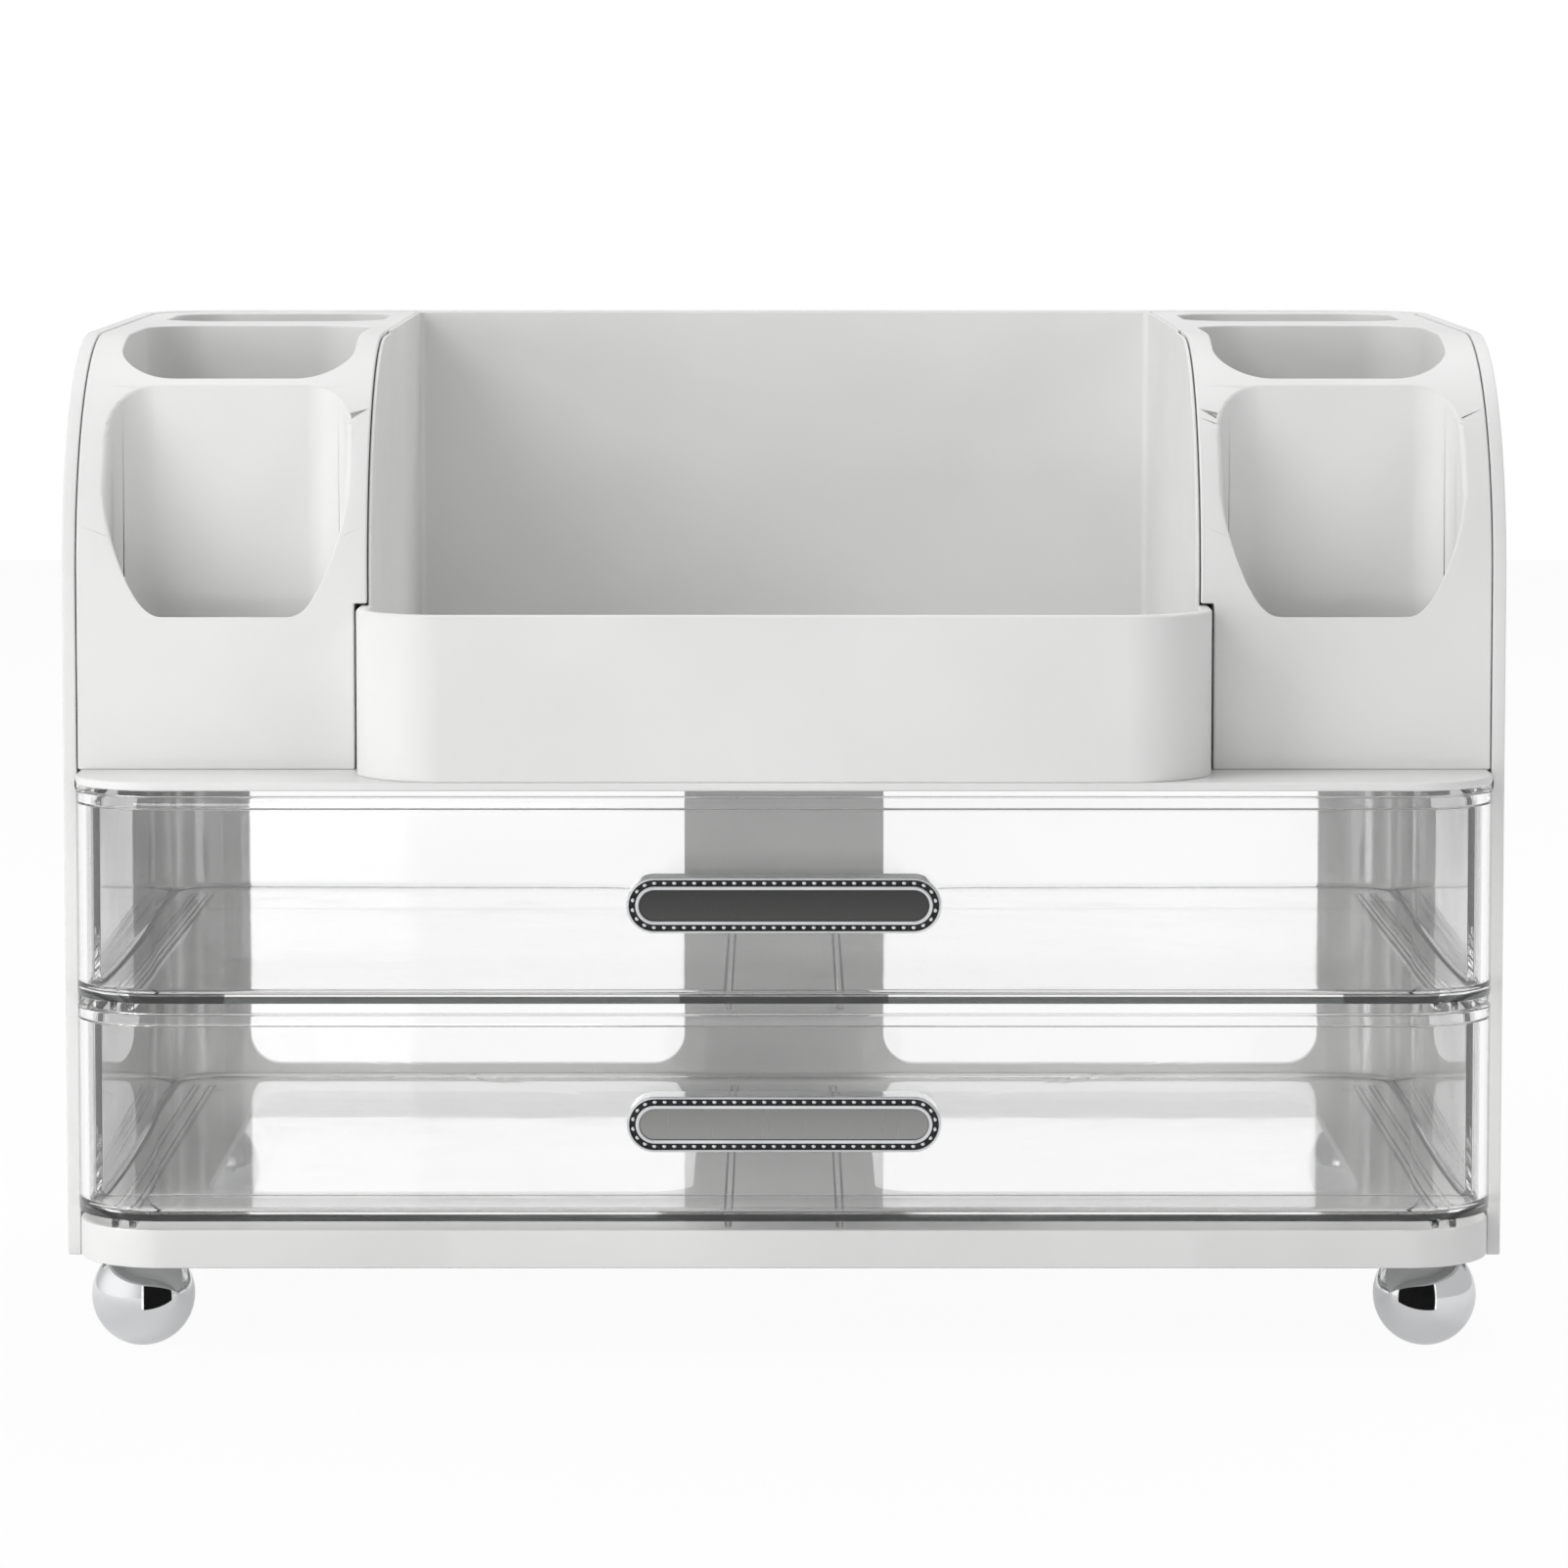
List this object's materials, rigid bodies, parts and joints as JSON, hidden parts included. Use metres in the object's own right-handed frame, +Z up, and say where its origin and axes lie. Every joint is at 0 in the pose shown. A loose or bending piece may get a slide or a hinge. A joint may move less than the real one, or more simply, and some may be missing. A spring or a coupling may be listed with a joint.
{
  "type": "vanity organiser",
  "caption": "Desktop vanity organiser with clear sliding drawers under an open tray, brush-holder wells at both sides and ball feet.",
  "frame": {"origin": "middle of the footprint on the table", "axes": "+X to the right seen from the front, +Y to the back, +Z up"},
  "size_m": [0.33, 0.218, 0.2328],
  "materials": {
    "white_abs": "satin gloss, injection moulded",
    "clear_polystyrene": "clear, polished mould",
    "plated_bezel": "bright plated casting with beads",
    "smoked_insert": "smoked reflective strip",
    "zinc_screw": "zinc plated",
    "chrome_ball": "polished"
  },
  "bodies": {
    "case": {"base_plate": "white_abs", "side_panel_left": "white_abs", "side_panel_right": "white_abs", "back_shell": "white_abs", "shelf_plate": "white_abs", "drawer_rail_left": "white_abs", "drawer_rail_right": "white_abs", "brush_holder_left": "white_abs", "brush_holder_right": "white_abs", "front_tray": "white_abs", "foot_front_left": "chrome_ball", "foot_front_right": "chrome_ball", "foot_back_left": "chrome_ball", "foot_back_right": "chrome_ball", "foot_screws": "zinc_screw"},
    "upper_drawer_unit": {"drawer_upper": "clear_polystyrene", "handle_bezel_upper": "plated_bezel", "handle_insert_upper": "smoked_insert", "handle_screws_upper": "zinc_screw"},
    "lower_drawer_unit": {"drawer_lower": "clear_polystyrene", "handle_bezel_lower": "plated_bezel", "handle_insert_lower": "smoked_insert", "handle_screws_lower": "zinc_screw"}
  },
  "joints": [
    {"name": "upper_drawer_slide", "type": "slide", "parent": "case", "child": "upper_drawer_unit", "axis": [0, -1, 0], "range_m": [0, 0.15]},
    {"name": "lower_drawer_slide", "type": "slide", "parent": "case", "child": "lower_drawer_unit", "axis": [0, -1, 0], "range_m": [0, 0.15]}
  ]
}
